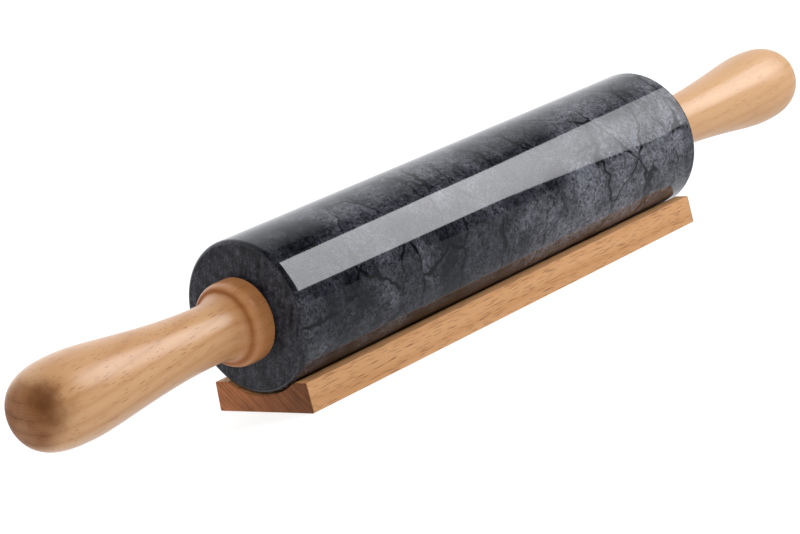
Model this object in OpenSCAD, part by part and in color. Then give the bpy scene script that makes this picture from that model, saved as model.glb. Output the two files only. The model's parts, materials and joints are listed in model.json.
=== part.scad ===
// Stone rolling pin on a wooden cradle.
// X runs along the pin, Z is up, and the origin is under the middle of the pin, on the table.

/* [Barrel] */
// Length of the stone barrel
barrel_l = 254; // [220:1:300]
// Diameter of the stone barrel
barrel_d = 60; // [56:1:62]
// Rounding of the two rims
rim_r = 2; // [0.6:0.1:2.5]
// Diameter of the hole through the barrel
bore_d = 14; // [13:0.5:16]

/* [Handles] */
// Length of a handle, from the barrel's end face to the tip
handle_l = 113; // [100:1:130]
// Diameter of the collar beside the barrel
collar_d = 32.8; // [31:0.2:36]
// Diameter of the neck behind the collar
neck_d = 22.6; // [20:0.2:25]
// Largest diameter of the grip
head_d = 33.4; // [30:0.2:38]
// Distance from the barrel's end face to the thickest part of the grip
head_at = 88; // [80:1:92]

/* [Axle] */
// Diameter of the steel rod, and of its thread over the crests
rod_d = 8; // [8:0.1:9]
// Length of thread on each end of the rod
thread_l = 32; // [28:1:34]
// Thickness of a thrust washer
washer_t = 1; // [0.6:0.1:1.2]
// Height of a lock nut
nut_h = 4; // [3:0.1:4.4]
// Length of a threaded insert
insert_l = 25; // [20:1:28]

/* [Bushes] */
// Diameter of a bush's flange, and of its seat in the stone
flange_d = 24; // [20:1:26]
// Thickness of a bush's flange
flange_t = 3; // [2:0.5:5]
// Length of a bush, with its flange
bush_l = 22; // [15:1:30]
// Radial running clearance of the rod in a bush
running_gap = 0.08; // [0.03:0.01:0.1]

/* [Cradle] */
// Length of the cradle
cradle_l = 250; // [200:1:290]
// Width of the cradle on the table
cradle_w = 48.6; // [46:0.2:56]
// Width of the cradle at the top
cradle_top_w = 47.4; // [46:0.2:56]
// Height of the cradle
cradle_h = 11.7; // [10:0.1:12.6]
// Thickness of wood under the groove
groove_floor = 6.5; // [5:0.1:7]
// Rounding of the groove's lips
lip_r = 2.5; // [1:0.5:3]
// Where the middle of the cradle lies along the pin, which was put down a little off centre
cradle_at = -2.4; // [-6:0.2:6]

/* [Hidden] */

round_fn = 96;          // sides of a turned piece on screen
arc_steps = 8;          // segments in a small rounding
sweep_steps = 26;       // segments in a long curve of the handle

barrel_r = barrel_d / 2;
barrel_end = barrel_l / 2;
rest_gap = 0.4;         // air between the stone and the floor of the groove
groove_r = barrel_r + 0.8;
axis_z = groove_floor + rest_gap + barrel_r;
cradle_edge_r = 0.6;

glue_gap = 0.05;        // radial gap of a glued or screwed joint
end_play = 0.1;         // axial play between the barrel and a thrust washer
washer_seat = 0.2;      // air between a washer and the collar behind it
edge_cut = 0.5;         // bevel on metal and nylon edges

seat_r = flange_d / 2 + glue_gap;
seat_depth = flange_t + 0.2;

washer_at = barrel_end + end_play;
washer_d = flange_d;
collar_at = washer_at + washer_t + washer_seat;
collar_back = collar_at - barrel_end;
recess_d = 17.5;        // pocket in the collar that takes the lock nut
nut_sink = 0.3;         // air between the mouth of the pocket and the nut, and again under it
recess_depth = nut_h + 2 * nut_sink;
nut_at = collar_at + nut_sink;
nut_across_flats = 13;
insert_at = collar_at + recess_depth;
insert_d = 12;
insert_bore = insert_l + 4;
insert_lead = 1.5;      // plain stretch at the mouth of an insert
rod_short = 3;          // how far the rod stops short of the insert's inner end
rod_l = 2 * (insert_at + insert_l - rod_short);

thread_pitch = 1.25;
thread_depth = 0.6;
rib_pitch = 2.5;
rib_depth = 0.5;

// Points of an arc about [r, x], turning from angle a to angle b. Angle 0 points away from the axis.
function arc(c, size, a, b, steps = arc_steps) = [
    for (i = [0 : steps])
        let (t = a + (b - a) * i / steps)
        [c[0] + size[0] * cos(t), c[1] + size[1] * sin(t)]
];

// Point of a cubic curve with four control points at t from 0 to 1.
function cubic(p, t) =
    pow(1 - t, 3) * p[0] + 3 * pow(1 - t, 2) * t * p[1] + 3 * (1 - t) * t * t * p[2] + t * t * t * p[3];

// Turns a profile of [radius, x] points about the pin's axis.
module turned(profile) {
    translate([0, 0, axis_z])
        rotate([0, 90, 0])
            rotate_extrude($fn = round_fn)
                polygon(profile);
}

// Places a part of the right-hand end on the left-hand end.
module on_left() {
    mirror([1, 0, 0]) children();
}

// Cross-section: a low block with a shallow round groove, whose lips roll over onto the two flat lands.
module cradle() {
    edge = cradle_edge_r;
    foot = cradle_w / 2 - edge;
    shoulder = cradle_top_w / 2 - edge;
    size = [edge, edge];
    groove = [0, groove_floor + groove_r];
    lip_z = cradle_h - lip_r;
    lip_y = sqrt(pow(groove_r + lip_r, 2) - pow(groove[1] - lip_z, 2));
    turn = atan2(lip_y, groove[1] - lip_z);
    lip_size = [lip_r, lip_r];
    color("peru")
        translate([cradle_at, 0, 0])
            rotate([90, 0, 90])
                linear_extrude(height = cradle_l, center = true)
                    polygon(concat(
                        arc([foot, edge], size, -90, 0, 3),
                        arc([shoulder, cradle_h - edge], size, 0, 90, 3),
                        arc([lip_y, lip_z], lip_size, 90, 90 + turn, 6),
                        arc(groove, [groove_r, groove_r], turn - 90, -turn - 90, 36),
                        arc([-lip_y, lip_z], lip_size, 90 - turn, 90, 6),
                        arc([-shoulder, cradle_h - edge], size, 90, 180, 3),
                        arc([-foot, edge], size, 180, 270, 3)
                    ));
}

module barrel() {
    size = [rim_r, rim_r];
    rim_at = barrel_end - rim_r;
    seat_at = barrel_end - seat_depth;
    color("dimgray")
        turned(concat(
            [[bore_d / 2, -seat_at], [seat_r, -seat_at], [seat_r, -barrel_end]],
            arc([barrel_r - rim_r, -rim_at], size, -90, 0),
            arc([barrel_r - rim_r, rim_at], size, 0, 90),
            [[seat_r, barrel_end], [seat_r, seat_at], [bore_d / 2, seat_at]]
        ));
}

// Nylon bush: a spigot glued into the bore, and a flange in the seat, flush with the stone.
module bush() {
    inner_r = rod_d / 2 + running_gap;
    spigot_r = bore_d / 2 - glue_gap;
    flange_r = flange_d / 2;
    flange_at = barrel_end - flange_t;
    tail = barrel_end - bush_l;
    color("ivory")
        turned([
            [inner_r, tail], [spigot_r - edge_cut, tail], [spigot_r, tail + edge_cut],
            [spigot_r, flange_at], [flange_r, flange_at], [flange_r, barrel_end - edge_cut],
            [flange_r - edge_cut, barrel_end], [inner_r + edge_cut, barrel_end],
            [inner_r, barrel_end - edge_cut]
        ]);
}

// Steel rod through the whole pin. Each thread is a row of V-shaped ridges.
module axle_rod() {
    crest = rod_d / 2;
    tip = rod_l / 2;
    point_l = 1;
    turns = floor(thread_l / thread_pitch);
    start = tip - point_l - turns * thread_pitch;
    right_half = concat(
        [for (i = [0 : turns - 1], side = [0, 1])
            [side == 0 ? crest : crest - thread_depth, start + (i + side / 2) * thread_pitch]],
        [[crest - thread_depth / 2, tip - point_l], [crest - point_l, tip]]
    );
    left_half = [for (i = [len(right_half) - 1 : -1 : 0]) [right_half[i][0], -right_half[i][1]]];
    color("silver")
        turned(concat([[0, -tip]], left_half, right_half, [[0, tip]]));
}

module washer() {
    inner_r = rod_d / 2 + 0.2;
    outer_r = washer_d / 2;
    cut = 0.15;
    face = washer_at + washer_t;
    color("dimgray")
        turned([
            [inner_r, washer_at], [outer_r - cut, washer_at], [outer_r, washer_at + cut],
            [outer_r, face - cut], [outer_r - cut, face], [inner_r, face]
        ]);
}

// Thin hexagon nut with its corners turned off on both faces.
module lock_nut() {
    corner_r = nut_across_flats / 2 / cos(30);
    flat_r = nut_across_flats / 2;
    color("silver")
        intersection() {
            translate([nut_at, 0, axis_z])
                rotate([0, 90, 0])
                    difference() {
                        cylinder(h = nut_h, r = corner_r, $fn = 6);
                        translate([0, 0, -1]) cylinder(h = nut_h + 2, r = rod_d / 2 + glue_gap, $fn = 48);
                    }
            turned([
                [0, nut_at], [flat_r, nut_at], [corner_r, nut_at + edge_cut],
                [corner_r, nut_at + nut_h - edge_cut], [flat_r, nut_at + nut_h], [0, nut_at + nut_h]
            ]);
        }
}

// Brass insert with saw-tooth ribs that hold it in the wood.
module insert() {
    inner_r = rod_d / 2 + glue_gap;
    outer_r = insert_d / 2 - glue_gap;
    ribs = floor((insert_l - 2 * insert_lead) / rib_pitch);
    ribs_at = insert_at + insert_lead;
    color("goldenrod")
        turned(concat(
            [[inner_r, insert_at], [outer_r, insert_at], [outer_r, ribs_at]],
            [for (i = [0 : ribs - 1], side = [0, 1])
                [side == 0 ? outer_r - rib_depth : outer_r, ribs_at + (i + side) * rib_pitch]],
            [[outer_r - rib_depth, insert_at + insert_l], [inner_r, insert_at + insert_l]]
        ));
}

// Turned handle: collar, cove, neck, swelling grip and blunt tip, with a pocket and a blind hole inside.
module handle() {
    collar_r = collar_d / 2;
    neck_r = neck_d / 2;
    head_r = head_d / 2;
    back_edge = 0.8;
    ridge = [2.4, 4.5];  // how far the collar's shoulder drops, and over what length
    ridge_at = 7;
    cove_l = 9.5;
    cove_steps = 12;
    cove_r = collar_r - ridge[0];
    neck_at = ridge_at + ridge[1] + cove_l;
    neck_pull = 29;      // how far the neck stays slim
    head_pull = 12;      // how far before its thickest part the grip is already full
    tip_power = 3;       // 2 would be an ellipse, more is blunter
    tip_l = handle_l - head_at;
    grip = [
        [neck_r, neck_at], [neck_r, neck_at + neck_pull], [head_r, head_at - head_pull], [head_r, head_at]
    ];
    outside = concat(
        arc([collar_r - back_edge, collar_back + back_edge], [back_edge, back_edge], -90, 0),
        arc([cove_r, ridge_at], ridge, 0, 90),
        [for (i = [1 : cove_steps]) let (t = 90 * i / cove_steps)
            [cove_r - (cove_r - neck_r) * sin(t), neck_at - cove_l * cos(t)]],
        [for (i = [1 : sweep_steps]) cubic(grip, i / sweep_steps)],
        [for (i = [1 : sweep_steps]) let (t = sin(90 * i / sweep_steps))
            [head_r * pow(max(0, 1 - pow(t, tip_power)), 1 / tip_power), head_at + tip_l * t]]
    );
    hole_end = insert_at + insert_bore - barrel_end;
    inside = [
        [0, hole_end + insert_d / 4], [insert_d / 2, hole_end], [insert_d / 2, collar_back + recess_depth],
        [recess_d / 2, collar_back + recess_depth], [recess_d / 2, collar_back]
    ];
    color("burlywood")
        turned([for (p = concat(outside, inside)) [p[0], p[1] + barrel_end]]);
}

cradle();
barrel();
on_left() bush();  // left_bush
bush();  // right_bush
axle_rod();
on_left() washer();  // left_washer
washer();  // right_washer
on_left() lock_nut();  // left_lock_nut
lock_nut();  // right_lock_nut
on_left() insert();  // left_insert
insert();  // right_insert
on_left() handle();  // left_handle
handle();  // right_handle
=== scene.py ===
import json
from math import cos, pi, radians, sin, sqrt, atan2
import bpy
from mathutils import Matrix, Vector


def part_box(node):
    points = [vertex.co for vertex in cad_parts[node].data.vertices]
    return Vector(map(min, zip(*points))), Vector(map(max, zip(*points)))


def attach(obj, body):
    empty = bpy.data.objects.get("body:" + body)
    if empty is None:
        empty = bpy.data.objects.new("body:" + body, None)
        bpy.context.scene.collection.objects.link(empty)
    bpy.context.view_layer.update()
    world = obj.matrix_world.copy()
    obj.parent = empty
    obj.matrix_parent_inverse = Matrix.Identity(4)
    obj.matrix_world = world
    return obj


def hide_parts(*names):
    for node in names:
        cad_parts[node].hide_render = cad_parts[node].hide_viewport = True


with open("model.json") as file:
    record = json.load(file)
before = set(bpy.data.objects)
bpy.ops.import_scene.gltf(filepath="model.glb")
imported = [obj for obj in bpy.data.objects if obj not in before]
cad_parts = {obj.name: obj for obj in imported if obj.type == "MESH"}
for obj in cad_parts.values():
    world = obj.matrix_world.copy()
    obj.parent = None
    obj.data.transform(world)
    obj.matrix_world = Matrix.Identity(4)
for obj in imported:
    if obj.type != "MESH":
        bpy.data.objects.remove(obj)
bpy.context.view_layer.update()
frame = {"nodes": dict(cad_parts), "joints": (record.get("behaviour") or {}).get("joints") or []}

mm = 0.001
axisZ = next(j["pos_m"][2] for j in frame["joints"] if j["name"] == "barrel_spin")


class Wire:
    # a socket that can be added, multiplied and so on, as if it were a number
    def __init__(self, tree, socket):
        self.tree = tree
        self.socket = socket

    def make(self, kind, settings=None, sockets=None, out=0):
        node = self.tree.nodes.new(kind)
        for name, value in (settings or {}).items():
            if name == "stops":
                ramp = node.color_ramp
                for extra in range(len(value) - 2):
                    ramp.elements.new(0.5)
                for element, (place, colour) in zip(ramp.elements, value):
                    element.position = place
                    element.color = (*colour, 1)
            else:
                setattr(node, name, value)
        for name, value in (sockets or {}).items():
            if isinstance(value, Wire):
                self.tree.links.new(value.socket, node.inputs[name])
            else:
                node.inputs[name].default_value = value
        return Wire(self.tree, node.outputs[out])

    def maths(self, operation, first, second=0.0):
        return self.make("ShaderNodeMath", {"operation": operation}, {0: first, 1: second})

    def __add__(self, other): return self.maths("ADD", self, other)
    def __radd__(self, other): return self.maths("ADD", other, self)
    def __sub__(self, other): return self.maths("SUBTRACT", self, other)
    def __rsub__(self, other): return self.maths("SUBTRACT", other, self)
    def __mul__(self, other): return self.maths("MULTIPLY", self, other)
    def __rmul__(self, other): return self.maths("MULTIPLY", other, self)
    def __truediv__(self, other): return self.maths("DIVIDE", self, other)
    def __pow__(self, other): return self.maths("POWER", self, other)
    def __abs__(self): return self.maths("ABSOLUTE", self)

    def rise(self, low, high):
        # 0 below low, 1 above high, smooth between; high may be the smaller of the two
        return self.make("ShaderNodeMapRange", {"interpolation_type": "SMOOTHSTEP"},
                         {"Value": self, "From Min": low, "From Max": high})

    def scaled(self, size, shift=(0, 0, 0), turn=(0, 0, 0)):
        # the position, moved and turned, in cells of the given size in metres
        cell = size if isinstance(size, tuple) else (size, size, size)
        return self.make("ShaderNodeMapping", {"vector_type": "TEXTURE"},
                         {"Vector": self, "Location": shift, "Rotation": turn, "Scale": cell})

    def plus(self, other):
        return self.make("ShaderNodeVectorMath", {"operation": "ADD"}, {0: self, 1: other})

    def times(self, factor):
        # all three parts of a place or a colour, times a number
        return self.make("ShaderNodeVectorMath", {"operation": "SCALE"}, {0: self, "Scale": factor})

    def part(self, letter):
        return self.make("ShaderNodeSeparateXYZ", None, {0: self}, letter)

    def noise(self, detail, roughness=0.55, out=0):
        # out 0 is a number, out 1 three numbers at once
        return self.make("ShaderNodeTexNoise", None,
                         {"Vector": self, "Scale": 1, "Detail": detail, "Roughness": roughness}, out)

    def drift(self, detail):
        # three noises at once, each about -0.5 to 0.5
        return self.noise(detail, 0.5, 1).plus((-0.5, -0.5, -0.5))

    def cells(self, feature, out=0):
        # out 0 is the distance, out 1 a colour of each cell's own
        return self.make("ShaderNodeTexVoronoi", {"feature": feature}, {"Vector": self, "Scale": 1}, out)

    def towards(self, amount, other):
        # this colour, mixed with another by the amount
        if isinstance(other, tuple):
            other = (*other, 1)
        return self.make("ShaderNodeMix", {"data_type": "RGBA"}, {0: amount, 6: self, 7: other}, 2)

    def ramp(self, *stops):
        return self.make("ShaderNodeValToRGB", {"stops": stops}, {0: self})


def startMaterial(name):
    material = bpy.data.materials.new(name)
    material.use_nodes = True
    shader = material.node_tree.nodes["Principled BSDF"]
    place = Wire(material.node_tree, None).make("ShaderNodeTexCoord", out="Object")
    return material, shader, place


def wireIn(shader, socket, wire):
    wire.tree.links.new(wire.socket, shader.inputs[socket])


def bump(shader, height, depth):
    # height in 0..1 stands for a relief of the given depth in metres
    normal = height.make("ShaderNodeBump", None, {"Strength": 1.0, "Distance": depth, "Height": height})
    wireIn(shader, "Normal", normal)


# polished marble of the barrel
marbleLook = {
    "dark": (0.0115, 0.0124, 0.0170),
    "mid": (0.039, 0.0405, 0.0500),
    "light": (0.122, 0.125, 0.146),
    "vein": (0.0025, 0.0029, 0.0046),
    "honedDark": (0.0085, 0.0090, 0.0120),
    "honedPale": (0.0600, 0.0625, 0.0760),
    "polish": 0.05,
    "honed": 0.55,
    "paleEnd": 1.9,      # how fast the stone gets paler towards the right-hand end, per metre
    "paleness": -0.06,   # raises or lowers the whole stone
    "cloudSize": 0.021, "cloudShare": 0.38,
    "puffSize": 0.008, "puffShare": 0.23,
    "bankSize": 0.044, "bankShare": 0.42,
    "driftSize": 0.028, "driftReach": 0.020,
    "rippleSize": 0.0075, "rippleReach": 0.0048,
    "netSize": 0.023, "netAround": 1.7,
    "bandWidth": 0.085, "bandShare": 0.36,
    "coreWidth": 0.026, "coreShare": 0.92,
    "crackSize": 0.0085, "crackAround": 1.9,
    "crackWidth": 0.065, "crackShare": 0.58,
    "veinShare": 0.95,
    "speckleBase": 0.84,
    "gritSize": 0.00085, "grit": 2.6,
    "crystalSize": 0.0014, "crystal": 0.85,
    "sparkleSize": 0.0012, "sparkle": 0.75,
    "honedGritSize": 0.0008, "honedGrit": 3.2,
}


def makeMarble():
    look = marbleLook
    material, shader, place = startMaterial("polishedMarble")
    smoky = place.plus(place.scaled(look["driftSize"]).drift(3).times(look["driftReach"]))
    ripple = place.scaled(look["rippleSize"], (0.011, 0.004, 0.002)).drift(2)
    creased = smoky.plus(ripple.times(look["rippleReach"]))

    # small, middling and broad pale clouds
    cloud = creased.scaled(look["cloudSize"], (0.013, 0.007, 0)).noise(8, 0.60).rise(0.39, 0.61)
    puff = creased.scaled(look["puffSize"], (0.021, 0.017, 0.01)).noise(5, 0.6).rise(0.36, 0.64)
    bank = smoky.scaled(look["bankSize"], (0.031, 0, 0.02)).noise(2, 0.5).rise(0.40, 0.60)
    lightness = cloud * look["cloudShare"] + puff * look["puffShare"] + bank * look["bankShare"]
    lightness = lightness + place.part("X") * look["paleEnd"] + look["paleness"]
    colour = lightness.ramp((0.0, look["dark"]), (0.45, look["mid"]), (1.0, look["light"]))

    # a net of dark veins, each a soft band with a thin core, broken up along its way
    netSize, netAround = look["netSize"], look["netSize"] * look["netAround"]
    netCell = (netSize, netAround, netAround)
    edge = creased.scaled(netCell, (0.003, 0.002, 0.009)).cells("DISTANCE_TO_EDGE")
    strength = smoky.scaled(0.030, (0.4, 0.1, 0)).noise(2).rise(0.36, 0.56)
    band = edge.rise(look["bandWidth"], 0.0) * strength * look["bandShare"]
    core = edge.rise(look["coreWidth"], 0.0) * strength * look["coreShare"]
    # and patches of hair cracks
    crackSize, crackAround = look["crackSize"], look["crackSize"] * look["crackAround"]
    crackCell = (crackSize, crackAround, crackAround)
    crack = creased.scaled(crackCell, (0.2, 0, 0.1)).cells("DISTANCE_TO_EDGE")
    crackPatch = smoky.scaled(0.026, (0.7, 0.2, 0)).noise(3).rise(0.46, 0.64)
    cracks = crack.rise(look["crackWidth"], 0.0) * crackPatch * look["crackShare"]
    veins = (band + core + cracks).rise(0.0, 1.0)
    colour = colour.towards(veins * look["veinShare"], look["vein"])

    grit = place.scaled(look["gritSize"]).noise(2, 0.6)
    crystal = place.scaled(look["crystalSize"]).cells("F1", 1).part("X")
    sparkle = place.scaled(look["sparkleSize"], (0.4, 0.2, 0.1)).noise(2, 0.7).rise(0.56, 0.72)
    speckle = look["speckleBase"] + (grit - 0.5) * look["grit"] + (crystal - 0.5) * look["crystal"]
    wireIn(shader, "Base Color", colour.times(speckle + sparkle * look["sparkle"]))
    wireIn(shader, "Roughness", look["polish"] + grit * 0.02)
    bump(shader, place.scaled(0.014).noise(2) * 0.16 + crystal * 0.006, 0.00012)
    return material


def makeHonedMarble():
    # the sawn and honed ends, which never got the polish
    look = marbleLook
    material, shader, place = startMaterial("honedMarble")
    streak = place.scaled((0.01, 0.0018, 0.009), (0, 0, 0), (0.35, 0, 0)).noise(5, 0.65)
    mottle = place.scaled(0.0045, (0.3, 0.1, 0.2)).noise(5, 0.65)
    vein = place.scaled((0.02, 0.017, 0.026), (0.1, 0.004, 0.012)).noise(4, 0.6)
    crease = abs(vein - 0.5).rise(0.02, 0.0) * 0.5
    tone = (streak * 0.5 + mottle * 0.5).rise(0.34, 0.66) * (1 - crease)
    colour = tone.ramp((0.0, look["honedDark"]), (1.0, look["honedPale"]))
    grit = place.scaled(look["honedGritSize"]).noise(2, 0.6)
    wireIn(shader, "Base Color", colour.times(1.0 + (grit - 0.5) * look["honedGrit"]))
    wireIn(shader, "Roughness", look["honed"] + mottle * 0.10)
    shader.inputs["Specular IOR Level"].default_value = 0.22
    bump(shader, place.scaled(0.0012).noise(4, 0.7), 0.00010)
    return material


# beech of the handles and the cradle
beechLook = {
    "pale": (0.66, 0.382, 0.185),
    "warm": (0.57, 0.300, 0.128),
    "late": (0.47, 0.225, 0.087),
    "fleck": (0.23, 0.080, 0.024),
    "gripFleck": (0.27, 0.090, 0.024),
    "ends": (0.112, 0.030, 0.007),
    "endLines": (0.265, 0.100, 0.034),
    # painted shade on the collar beside the stone
    "collarShade": (0.45, 0.155, 0.038),
    "paleGrip": (0.78, 0.49, 0.26),  # the right-hand grip is a little paler
    "planed": (0.60, 0.250, 0.080),
    "sawnDark": (0.165, 0.055, 0.019),
    "sawnPale": (0.350, 0.135, 0.054),
    # painted shade on the near tip: its dark colour, its rim colour, and its place, size and turn
    "paintedShade": (0.100, 0.027, 0.005),
    "paintedShadeRim": (0.330, 0.125, 0.034),
    "paintedShadeSpot": (-0.2362, -0.0103, 0.0414),
    "paintedShadeSize": (0.009, 0.0112, 0.0066),
    "paintedShadeTurn": 0.986,
    "grainRunOut": 0.08,  # the grips' grain climbs this much, in radians, from left to right
    "rayTurn": -0.78,     # the rays lie half way between across and upright
    "gripRays": {"length": 0.0190, "gap": 0.00115, "sizes": (0.21, 0.22)},
    "cradleRays": {"length": 0.0145, "gap": 0.00048, "sizes": (0.29, 0.28)},
    "gripPith": (-0.014, 0.115),
    "cradlePith": (0.045, 0.060),
    "ringWidth": 0.0024,
    "gripFleckShare": 0.58, "cradleFleckShare": 0.84,
    "collarShadeShare": 0.66, "streakShare": 0.38,
    # how strongly the painted shade on the near tip is laid on
    "paintedShadeShare": 0.74, "paintedShadeRimShare": 0.62,
    "paleGripShare": 0.26, "planedShare": 0.14,
    "gripGloss": 0.72,
}


def beechGrain(place, pith, rays):
    # colours and relief of beech whose grain runs along X; pith is the heart's place in the log,
    # rays are the length and gap of the short dark flecks, and the shares of the gap that they fill
    look = beechLook
    wander = place.scaled((0.09, 0.02, 0.02)).drift(3)
    log = place.plus(wander.times(0.006)).plus((0, -pith[0], -pith[1]))
    ring = (log.part("Y") ** 2 + log.part("Z") ** 2) ** 0.5
    season = ring.maths("PINGPONG", ring / look["ringWidth"], 1.0)
    broad = place.scaled((0.12, 0.011, 0.011), (0.02, 0, 0)).noise(3, 0.55)
    fine = place.scaled((0.026, 0.0008, 0.0008)).noise(3, 0.6)
    tone = season ** 2.2 * 0.38 + broad * 0.85 + fine * 0.42 - 0.36
    colour = tone.ramp((0.0, look["pale"]), (0.5, look["warm"]), (1.0, look["late"]))

    wavy = place.plus(place.scaled((0.02, 0.006, 0.006)).drift(2).times(0.0006))
    layers = []
    for grow, size, seed in ((1.0, rays["sizes"][0], 0.0), (0.72, rays["sizes"][1], 0.37)):
        cell = (rays["length"] * grow, rays["gap"] * grow, rays["gap"] * grow * 1.3)
        dash = wavy.scaled(cell, (seed, seed, seed), (look["rayTurn"], 0, 0)).cells("F1")
        layers.append(dash.rise(size, size * 0.5))
    flecks = (layers[0] + layers[1]).rise(0.0, 1.0)
    return colour, flecks, season, fine


def makeGripBeech():
    look = beechLook
    material, shader, place = startMaterial("turnedBeech")
    level = place
    tilt = (0, look["grainRunOut"], 0)
    place = place.make("ShaderNodeMapping", None, {"Vector": place, "Rotation": tilt})
    colour, flecks, season, fine = beechGrain(place, look["gripPith"], look["gripRays"])
    crowd = place.scaled((0.05, 0.009, 0.009), (0.3, 0, 0)).noise(2).rise(0.26, 0.50)
    colour = colour.times(0.94).towards(flecks * crowd * look["gripFleckShare"], look["gripFleck"])
    # where the turned surface runs across the grain it is darker, and the growth rings show as arcs
    acrossGrain = place.make("ShaderNodeAttribute", {"attribute_name": "acrossGrain"}, None, 2)
    rings = season.maths("PINGPONG", season * 5.0, 1.0)
    pricks = place.scaled(0.0011).noise(3, 0.7) - 0.5
    arcs = season ** 3.0 * 0.50 + rings * 0.30 + pricks * 1.5
    ends = arcs.ramp((0.0, look["endLines"]), (1.0, look["ends"]))
    blotch = place.scaled(0.009, (0.1, 0.5, 0.2)).noise(3).rise(0.30, 0.70)
    endGrain = acrossGrain.rise(0.34, 0.98) * (0.74 + blotch * 0.24)
    colour = colour.towards(endGrain, ends)
    # painted shade: a dark patch with an orange-brown rim to one side of the near tip, where the dome
    # turns away from the light
    paintedShade = level.scaled(look["paintedShadeSize"], look["paintedShadeSpot"], (look["paintedShadeTurn"], 0, 0))
    paintedShade = paintedShade.make("ShaderNodeVectorMath", {"operation": "LENGTH"}, {0: paintedShade}, 1)
    paintedShade = (paintedShade + (blotch - 0.5) * 0.45 + (fine - 0.5) * 0.20).rise(1.50, 0.10)
    colour = colour.towards(paintedShade * look["paintedShadeRimShare"], look["paintedShadeRim"])
    colour = colour.towards(paintedShade ** 2.0 * look["paintedShadeShare"], look["paintedShade"])
    colour = colour.towards(level.part("X").rise(0.10, 0.16) * look["paleGripShare"], look["paleGrip"])
    # beside the stone the wood is painted browner, a painted shade where the collar meets the stone, and
    # it is streaked along the grain
    collarEnd, collarStart = handleShape["neckStart"] + 4 * mm, handleShape["ridgeStart"] - 2 * mm
    collar = abs(level.part("X")).rise(collarEnd, collarStart)
    colour = colour.towards(collar * look["collarShadeShare"], look["collarShade"])
    streaks = place.scaled((0.011, 0.0007, 0.0007), (0.1, 0.3, 0.2)).noise(3, 0.6).rise(0.54, 0.72)
    colour = colour.towards(streaks * collar * look["streakShare"], look["fleck"])
    wireIn(shader, "Base Color", colour)
    wireIn(shader, "Roughness", 0.42 + fine * 0.10 + endGrain * 0.25)
    dull = endGrain + paintedShade * (1 - endGrain) * 0.8
    wireIn(shader, "Coat Weight", look["gripGloss"] - dull * 0.62)
    pores = place.scaled((0.0040, 0.0006, 0.0006), (0.2, 0.1, 0)).noise(2, 0.6)
    bump(shader, fine * 0.4 + pores * 0.6 - flecks * crowd * 0.6 + season * 0.1, 0.00007)
    shader.inputs["Specular IOR Level"].default_value = 0.15
    shader.inputs["Coat Roughness"].default_value = 0.30
    return material


def makeCradleBeech():
    look = beechLook
    material, shader, place = startMaterial("planedBeech")
    colour, flecks, season, fine = beechGrain(place, look["cradlePith"], look["cradleRays"])
    crowd = place.scaled((0.03, 0.006, 0.006), (0.3, 0, 0)).noise(2).rise(0.02, 0.34)
    colour = colour.towards(look["planedShare"], look["planed"])
    colour = colour.towards(flecks * crowd * look["cradleFleckShare"], look["fleck"])
    # the two sawn ends
    half = cradleShape["length"] / 2
    along = abs(place.part("X") - cradleShape["middle"])
    ends = along.rise(half - 0.8 * mm, half - 0.3 * mm)
    hatch = place.scaled((0.01, 0.00075, 0.014), (0, 0, 0), (look["rayTurn"], 0, 0)).noise(2, 0.5)
    dusty = place.scaled(0.006, (0.3, 0.1, 0)).noise(3)
    face = (hatch * 0.7 + dusty * 0.3).ramp((0.34, look["sawnDark"]), (0.66, look["sawnPale"]))
    face = face.times(1.14 + place.part("Y") * 21)  # painted light: paler towards the back, where more light falls on the sawn ends
    colour = colour.towards(ends, face)
    wireIn(shader, "Base Color", colour)
    wireIn(shader, "Roughness", 0.50 + fine * 0.1 + ends * 0.12)
    shader.inputs["Specular IOR Level"].default_value = 0.25
    bump(shader, fine * 0.5 - flecks * crowd * 0.7, 0.00006)
    return material


# metals and nylon inside the pin
def makeMetal(name, colour, roughness, lines):
    # turned or drawn metal with fine rings along the pin
    material, shader, place = startMaterial(name)
    marks = place.scaled((lines, 0.02, 0.02)).noise(3, 0.6)
    smudge = place.scaled(0.009).noise(3)
    base = smudge.ramp((0.3, tuple(c * 0.85 for c in colour)), (0.7, colour))
    wireIn(shader, "Base Color", base)
    wireIn(shader, "Roughness", roughness + marks * 0.12)
    shader.inputs["Metallic"].default_value = 1.0
    bump(shader, marks, 0.00002)
    return material


def makeNylon():
    material, shader, place = startMaterial("naturalNylon")
    cloudy = place.scaled(0.006).noise(3)
    wireIn(shader, "Base Color", cloudy.ramp((0.3, (0.66, 0.63, 0.54)), (0.7, (0.76, 0.74, 0.66))))
    wireIn(shader, "Roughness", 0.42 + cloudy * 0.12)
    bump(shader, place.scaled((0.0003, 0.01, 0.01)).noise(2), 0.00002)
    return material


def deselect():
    if bpy.context.object and bpy.context.object.mode != "OBJECT":
        bpy.ops.object.mode_set(mode="OBJECT")
    bpy.ops.object.select_all(action="DESELECT")


def finishPlace(piece, name):
    # the place goes into the mesh, as on the CAD nodes
    piece.name = name
    piece.data.name = name
    bpy.ops.object.transform_apply(location=True, rotation=True, scale=True)


def pick(piece, kind, rule):
    # in edit mode: selects the faces or edges whose middle (and normal, for a face) the rule accepts
    bpy.ops.mesh.select_all(action="DESELECT")
    bpy.ops.object.mode_set(mode="OBJECT")
    mesh = piece.data
    if kind == "FACE":
        for face in mesh.polygons:
            face.select = rule(face.center, face.normal)
    else:
        for edge in mesh.edges:
            ends = [mesh.vertices[v].co for v in edge.vertices]
            edge.select = rule(*ends)
    bpy.ops.object.mode_set(mode="EDIT")
    bpy.ops.mesh.select_mode(type=kind)


def fromAxis(point):
    return sqrt(point.y ** 2 + (point.z - axisZ) ** 2)


def smoothShade(piece, degrees):
    deselect()
    piece.select_set(True)
    bpy.context.view_layer.objects.active = piece
    bpy.ops.object.shade_smooth_by_angle(angle=radians(degrees))


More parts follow.
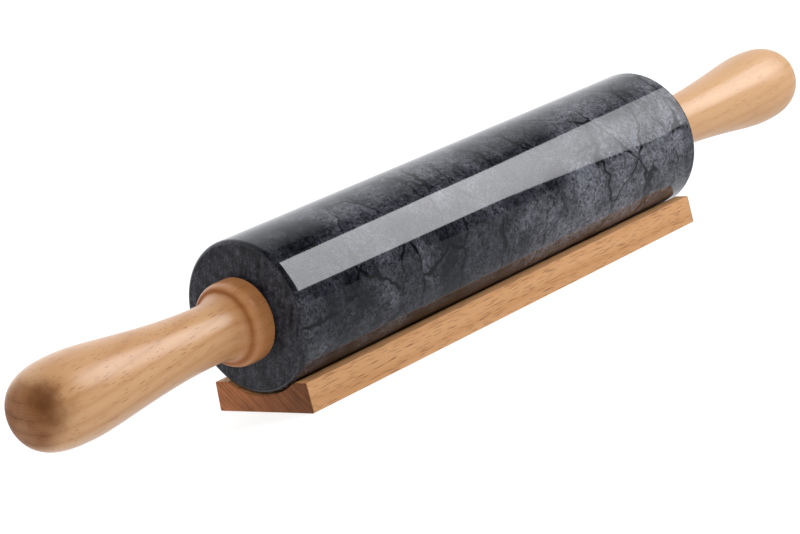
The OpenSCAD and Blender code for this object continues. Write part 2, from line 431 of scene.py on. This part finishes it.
def tidyMesh():
    # in edit mode
    bpy.ops.mesh.select_all(action="SELECT")
    bpy.ops.mesh.remove_doubles(threshold=1e-6)
    bpy.ops.mesh.normals_make_consistent(inside=False)
    bpy.ops.object.mode_set(mode="OBJECT")


barrelLow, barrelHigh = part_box("barrel")
flangeLow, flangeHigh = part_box("right_bush")
barrelShape = {
    "length": barrelHigh.x - barrelLow.x,
    "radius": round((barrelHigh.z - barrelLow.z) / 2, 4),
    "rim": 2.0 * mm,
    "seatRadius": (flangeHigh.z - flangeLow.z) / 2 + 0.06 * mm,
    "seatDepth": 3.2 * mm,
    "boreRadius": 7 * mm,
    "sides": 224,
}


def makeBarrel():
    shape = barrelShape
    deselect()
    bpy.ops.mesh.primitive_cylinder_add(vertices=shape["sides"], radius=shape["radius"],
                                        depth=shape["length"], location=(0, 0, axisZ),
                                        rotation=(0, pi / 2, 0))
    piece = bpy.context.object
    finishPlace(piece, "stone_barrel")
    bpy.ops.object.mode_set(mode="EDIT")
    for side in (-1, 1):
        pick(piece, "FACE", lambda middle, normal: normal.x * side > 0.9)
        bpy.ops.mesh.inset(thickness=shape["radius"] - shape["seatRadius"])
        sink = -side * shape["seatDepth"]
        bpy.ops.mesh.extrude_region_move(TRANSFORM_OT_translate={"value": (sink, 0, 0)})
        bpy.ops.mesh.inset(thickness=shape["seatRadius"] - shape["boreRadius"])
        bpy.ops.mesh.delete(type="ONLY_FACE")
    boreEdge = shape["boreRadius"] + 0.2 * mm
    pick(piece, "EDGE", lambda a, b: fromAxis(a) < boreEdge and fromAxis(b) < boreEdge)
    bpy.ops.mesh.bridge_edge_loops()
    rimEdge = shape["radius"] - 0.1 * mm
    pick(piece, "EDGE", lambda a, b: min(fromAxis(a), fromAxis(b)) > rimEdge and abs(a.x - b.x) < 1e-5)
    bpy.ops.mesh.bevel(offset=shape["rim"], segments=6, profile=0.5, affect="EDGES")
    tidyMesh()
    smoothShade(piece, 30)
    piece.data.materials.append(makeMarble())
    piece.data.materials.append(makeHonedMarble())
    for face in piece.data.polygons:
        honed = abs(face.normal.x) > 0.99 or fromAxis(face.center) < shape["radius"] / 2
        face.material_index = 1 if honed else 0
    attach(piece, "barrel")
    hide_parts("barrel")
    return piece


handleLow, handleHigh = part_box("right_handle")
handleShape = {
    "back": handleLow.x,
    "tip": handleHigh.x,
    "collarRadius": 16.4 * mm,
    "backRounding": 0.8 * mm,
    "ridgeDrop": 2.4 * mm,
    "ridgeStart": barrelHigh.x + 7 * mm,
    "ridgeEnd": barrelHigh.x + 11.5 * mm,
    "neckStart": barrelHigh.x + 21 * mm,
    "neckRadius": 11.3 * mm,
    "neckPull": 29 * mm,
    "headAt": barrelHigh.x + 88 * mm,
    "headPull": 12 * mm,
    "headRadius": 16.7 * mm,
    "tipPower": 3,
    "pocketRadius": 8.75 * mm,
    "pocketDepth": 4.6 * mm,
    "holeRadius": 6 * mm,
    "holeDepth": 29 * mm,
    "sides": 144,
}


def handleOutline(shape):
    # places along the pin and radii, from the collar's back face to the tip
    points = []
    rounding, collar = shape["backRounding"], shape["collarRadius"]
    for step in range(6):
        a = pi / 2 * step / 5
        points.append((shape["back"] + rounding * (1 - cos(a)), collar - rounding * (1 - sin(a))))
    ridgeLength = shape["ridgeEnd"] - shape["ridgeStart"]
    for step in range(13):
        a = pi / 2 * step / 12
        drop = shape["ridgeDrop"] * (1 - cos(a))
        points.append((shape["ridgeStart"] + ridgeLength * sin(a), collar - drop))
    top, neck = collar - shape["ridgeDrop"], shape["neckRadius"]
    coveLength = shape["neckStart"] - shape["ridgeEnd"]
    for step in range(1, 15):
        a = pi / 2 * step / 14
        points.append((shape["neckStart"] - coveLength * cos(a), top - (top - neck) * sin(a)))
    pulls = (shape["neckStart"], shape["neckStart"] + shape["neckPull"],
             shape["headAt"] - shape["headPull"], shape["headAt"])
    head = shape["headRadius"]
    for step in range(1, 31):
        t = step / 30
        shares = ((1 - t) ** 3, 3 * (1 - t) ** 2 * t, 3 * (1 - t) * t ** 2, t ** 3)
        place = sum(share * pull for share, pull in zip(shares, pulls))
        swell = shares[2] + shares[3]
        points.append((place, neck + (head - neck) * swell))
    for step in range(1, 25):
        t = sin(pi / 2 * step / 24)
        radius = head * max(0, 1 - t ** shape["tipPower"]) ** (1 / shape["tipPower"])
        points.append((shape["headAt"] + (shape["tip"] - shape["headAt"]) * t, radius))
    return points


def turnOn(side, start, points):
    # carries the selected ring of edges along the pin, from the start through each point
    for place, radius in points:
        move = side * (place - start[0])
        bpy.ops.mesh.extrude_edges_move(TRANSFORM_OT_translate={"value": (move, 0, 0)})
        size = max(radius, 1e-5) / start[1]
        bpy.ops.transform.resize(value=(1, size, size), center_override=(side * place, 0, axisZ))
        start = (place, max(radius, 1e-5))


def makeHandle(side, name, node):
    shape = handleShape
    outline = handleOutline(shape)
    deselect()
    bpy.ops.mesh.primitive_circle_add(vertices=shape["sides"], radius=outline[0][1],
                                      location=(side * outline[0][0], 0, axisZ), rotation=(0, pi / 2, 0))
    piece = bpy.context.object
    finishPlace(piece, name)
    bpy.ops.object.mode_set(mode="EDIT")
    bpy.ops.mesh.select_all(action="SELECT")
    turnOn(side, outline[0], outline[1:])
    bpy.ops.mesh.merge(type="CENTER")
    backPlane = side * shape["back"]
    pick(piece, "EDGE", lambda a, b: abs(a.x - backPlane) < 1e-6 and abs(b.x - backPlane) < 1e-6)
    pocketEnd = shape["back"] + shape["pocketDepth"]
    holeEnd = pocketEnd + shape["holeDepth"]
    turnOn(side, outline[0], [
        (shape["back"], shape["pocketRadius"]), (pocketEnd, shape["pocketRadius"]),
        (pocketEnd, shape["holeRadius"]), (holeEnd, shape["holeRadius"]),
        (holeEnd + shape["holeRadius"] / 2, 0),
    ])
    bpy.ops.mesh.merge(type="CENTER")
    tidyMesh()
    smoothShade(piece, 30)
    fibres = Vector((cos(beechLook["grainRunOut"]), 0, sin(beechLook["grainRunOut"])))
    across = piece.data.attributes.new("acrossGrain", "FLOAT", "POINT")
    across.data.foreach_set("value", [abs(corner.normal.dot(fibres)) for corner in piece.data.vertices])
    piece.data.materials.append(gripBeech)
    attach(piece, "axle")
    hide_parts(node)
    return piece


cradleLow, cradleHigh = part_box("cradle")
cradleShape = {
    "length": cradleHigh.x - cradleLow.x,
    "middle": (cradleHigh.x + cradleLow.x) / 2,
    "footWidth": cradleHigh.y - cradleLow.y,
    "topWidth": 47.4 * mm,
    "height": cradleHigh.z,
    "grooveRadius": barrelShape["radius"] + 0.8 * mm,
    "grooveFloor": 6.5 * mm,
    "lip": 2.5 * mm,
    "edge": 0.5 * mm,
}


def cradleProfile(shape):
    # distances from the middle and heights of the top: the groove's floor, the lip, the outer edge
    radius, lip = shape["grooveRadius"], shape["lip"]
    grooveZ = shape["grooveFloor"] + radius
    lipZ = shape["height"] - lip
    lipY = sqrt((radius + lip) ** 2 - (grooveZ - lipZ) ** 2)
    meet = atan2(lipY, grooveZ - lipZ)
    points = []
    for step in range(25):
        a = meet * step / 24
        points.append((radius * sin(a), grooveZ - radius * cos(a)))
    for step in range(1, 7):
        a = meet * (1 - step / 6)
        points.append((lipY - lip * sin(a), lipZ + lip * cos(a)))
    points.append((shape["topWidth"] / 2, shape["height"]))
    return points


def makeCradle():
    shape = cradleShape
    right = cradleProfile(shape)
    stations = [(-y, z) for y, z in reversed(right)] + right[1:]
    deselect()
    start = stations[0]
    bpy.ops.mesh.primitive_plane_add(size=1, location=(shape["middle"], start[0], start[1] / 2),
                                     rotation=(pi / 2, 0, 0))
    piece = bpy.context.object
    piece.scale = (shape["length"], start[1], 1)
    finishPlace(piece, "cradle_block")
    bpy.ops.object.mode_set(mode="EDIT")
    bpy.ops.mesh.select_mode(type="FACE")
    bpy.ops.mesh.select_all(action="SELECT")
    for y, z in stations[1:]:
        bpy.ops.mesh.extrude_region_move(TRANSFORM_OT_translate={"value": (0, y - start[0], 0)})
        bpy.ops.transform.resize(value=(1, 1, z / start[1]), center_override=(shape["middle"], y, 0))
        start = (y, z)
    topEdge = shape["topWidth"] / 2 - 1e-5
    pick(piece, "EDGE", lambda a, b: max(a.z, b.z) < 1e-6 and min(abs(a.y), abs(b.y)) > topEdge)
    bpy.ops.transform.resize(value=(1, shape["footWidth"] / shape["topWidth"], 1),
                             center_override=(shape["middle"], 0, 0))

    def outerEdge(a, b):
        # the four long corners, and all round both ends, without the slab lines that cross the ends
        lengthwiseOrUpright = abs(a.x - b.x) > 1e-6 or abs(a.y - b.y) < 1e-5
        return min(abs(a.y), abs(b.y)) > topEdge if lengthwiseOrUpright else True

    pick(piece, "EDGE", outerEdge)
    bpy.ops.mesh.bevel(offset=shape["edge"], segments=3, affect="EDGES")
    tidyMesh()
    smoothShade(piece, 30)
    piece.data.materials.append(makeCradleBeech())
    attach(piece, "cradle")
    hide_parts("cradle")
    return piece


def dress(node, material):
    piece = frame["nodes"][node]
    for slot in range(len(piece.data.materials)):
        piece.data.materials[slot] = material


cameraSetup = {
    "spot": (-0.8025, -0.7144, 0.2546),
    "heading": 43.11, "dip": 12.144, "roll": -12.178,  # degrees
    "lens": 122.26,
}
floorSetup = {
    "size": 24.0,
    "mottleSize": 0.6, "mottleDim": 0.99,
    "seen": {"colour": (0.35, 0.35, 0.35), "glow": 0.80, "height": -0.0002},
    "bounce": {"colour": (0.50, 0.50, 0.50), "glow": 0.50, "height": -0.0004},
}
softboxSetup = {
    "direction": (0.714, -0.500, 0.490), "distance": 1.6,
    # each corner's place from the panel's middle, level and up
    "corners": ((-0.720, -0.265), (-0.173, -0.462), (0.113, -0.820), (0.950, 0.130), (0.450, 0.350),
                (0.340, 0.440), (-0.020, 0.680), (-0.60, 0.50)),
    "tint": (0.960, 0.965, 1.0), "radiance": 6.6,
    "fadeAlong": (0.8, -0.6), "fadeStart": -0.02, "fadeEnd": 0.52, "fadeTo": 0.32,
}
fillSetup = {
    "frontFill": {
        "direction": (-0.45, -0.75, 0.50), "distance": 1.8,
        "size": (2.0, 1.2), "radiance": 1.20,
    },
    "topFill": {
        "direction": (-0.30, 0.10, 1.0), "distance": 1.8,
        "size": (1.8, 1.2), "radiance": 1.8,
    },
}
worldLook = {
    "colour": (0.975, 0.985, 1.02),
    "back": 1.27, "backPower": 0.6, "backFrom": -0.03,
    "front": 0.05, "below": 0.40, "horizonBlur": 0.012,
    "leftMore": 3.2, "leftFrom": 0.67, "leftBase": 1.2, "leftRange": (0.7, 1.25),
    "leftEnd": 0.6, "leftFade": (-0.3, 0.45),
}


def makeCamera():
    setup = cameraSetup
    deselect()
    bpy.ops.object.camera_add()
    camera = bpy.context.object
    heading = Matrix.Rotation(radians(setup["heading"] - 90), 4, "Z")
    dip = Matrix.Rotation(radians(90 - setup["dip"]), 4, "X")
    roll = Matrix.Rotation(radians(setup["roll"]), 4, "Z")
    camera.matrix_world = Matrix.Translation(setup["spot"]) @ heading @ dip @ roll
    camera.data.lens = setup["lens"]
    camera.data.clip_start, camera.data.clip_end = 0.05, 60
    bpy.context.scene.camera = camera


def makeFloor(name, look):
    deselect()
    bpy.ops.mesh.primitive_plane_add(size=floorSetup["size"], location=(0, 0, look["height"]))
    floor = bpy.context.object
    finishPlace(floor, name)
    material, shader, place = startMaterial(name)
    tint = place.scaled(floorSetup["mottleSize"]).noise(2)
    dim = tuple(c * floorSetup["mottleDim"] for c in look["colour"])
    wireIn(shader, "Base Color", tint.ramp((0.0, dim), (1.0, look["colour"])))
    shader.inputs["Roughness"].default_value = 0.9
    shader.inputs["Specular IOR Level"].default_value = 0.0
    shader.inputs["Emission Color"].default_value = (1, 1, 1, 1)
    shader.inputs["Emission Strength"].default_value = look["glow"]
    floor.data.materials.append(material)
    floor.visible_glossy = False
    return floor


def makeSoftbox():
    # a tapered light panel; its far part is dimmer, as a lamp near one end of it makes it
    setup = softboxSetup
    out = Vector(setup["direction"]).normalized()
    level = Vector((-out.y, out.x, 0)).normalized()
    up = out.cross(level)
    middle = Vector((0, 0, axisZ)) + out * setup["distance"]
    deselect()
    bpy.ops.mesh.primitive_circle_add(vertices=len(setup["corners"]), radius=1, fill_type="NGON")
    panel = bpy.context.object
    finishPlace(panel, "softbox")
    for vertex, (u, v) in zip(panel.data.vertices, setup["corners"]):
        vertex.co = middle + level * u + up * v
    material, shader, place = startMaterial("softboxCloth")
    levelPart, upPart = setup["fadeAlong"]
    slide = place.make("ShaderNodeVectorMath", {"operation": "DOT_PRODUCT"},
                       {0: place, 1: tuple(level * levelPart + up * upPart)}, 1)
    fade = slide.rise(setup["fadeStart"], setup["fadeEnd"])
    low = setup["fadeTo"]
    tint = setup["tint"]
    wireIn(shader, "Emission Color", fade.ramp((0.0, tint), (1.0, tuple(c * low for c in tint))))
    shader.inputs["Base Color"].default_value = (0, 0, 0, 1)
    shader.inputs["Emission Strength"].default_value = setup["radiance"]
    panel.data.materials.append(material)
    panel.visible_camera = False


def makeFills():
    # big soft lights that lay no streak on the polished stone
    for name, setup in fillSetup.items():
        deselect()
        bpy.ops.object.light_add(type="AREA")
        lamp = bpy.context.object
        lamp.name = name
        out = Vector(setup["direction"]).normalized()
        face = out.to_track_quat("Z", "Y").to_matrix().to_4x4()
        lamp.matrix_world = Matrix.Translation(Vector((0, 0, axisZ)) + out * setup["distance"]) @ face
        lamp.data.shape = "RECTANGLE"
        lamp.data.size, lamp.data.size_y = setup["size"]
        lamp.data.energy = setup["radiance"] * pi * setup["size"][0] * setup["size"][1]
        lamp.visible_glossy = False


def makeWorld():
    # bright behind the object and fading towards the zenith, dark in front, pale below the horizon
    world = bpy.data.worlds.new("studio")
    world.use_nodes = True
    bpy.context.scene.world = world
    tree = world.node_tree
    background = tree.nodes["Background"]
    look = Wire(tree, None).make("ShaderNodeTexCoord", out="Generated")
    setup = worldLook
    back = look.maths("MAXIMUM", look.part("Y") - setup["backFrom"], 0.0) ** setup["backPower"]
    below = look.part("Z").rise(0.0, -setup["horizonBlur"])
    left = setup["leftBase"] - (look.part("X") - setup["leftFrom"]) * setup["leftMore"]
    least, most = setup["leftRange"]
    back = back * left.maths("MINIMUM", left.maths("MAXIMUM", left, least), most)
    back = back * (setup["leftEnd"] + look.part("X").rise(*setup["leftFade"]) * (1 - setup["leftEnd"]))
    sky = setup["front"] + back * setup["back"]
    ground = setup["below"] + back * (setup["back"] - setup["below"])
    level = sky + below * (ground - sky)
    tree.links.new(level.socket, background.inputs["Strength"])
    background.inputs["Color"].default_value = (*setup["colour"], 1)


# the building starts here
makeCamera()
gripBeech = makeGripBeech()
makeBarrel()
print("barrel made")
makeHandle(-1, "left_grip", "left_handle")
makeHandle(1, "right_grip", "right_handle")
print("handles made")
makeCradle()
print("cradle made")
steel = makeMetal("drawnSteel", (0.56, 0.57, 0.58), 0.28, 0.0004)
dress("axle_rod", steel)
blackened = makeMetal("blackenedSteel", (0.10, 0.10, 0.105), 0.45, 0.0005)
zinc = makeMetal("zincPlate", (0.62, 0.63, 0.64), 0.34, 0.0005)
brass = makeMetal("turnedBrass", (0.78, 0.57, 0.26), 0.28, 0.0004)
nylon = makeNylon()
for side in ("left", "right"):
    dress(side + "_washer", blackened)
    dress(side + "_lock_nut", zinc)
    dress(side + "_insert", brass)
    dress(side + "_bush", nylon)
print("metal and nylon dressed")
# one floor is what is seen; the other, just below it, throws light back up and takes the shadows
seenFloor = makeFloor("floor", floorSetup["seen"])
seenFloor.visible_diffuse = False
seenFloor.visible_shadow = False
bounceFloor = makeFloor("bounce_floor", floorSetup["bounce"])
bounceFloor.visible_camera = False
makeSoftbox()
makeFills()
makeWorld()
bpy.context.scene.view_settings.view_transform = "Standard"
print("studio made")
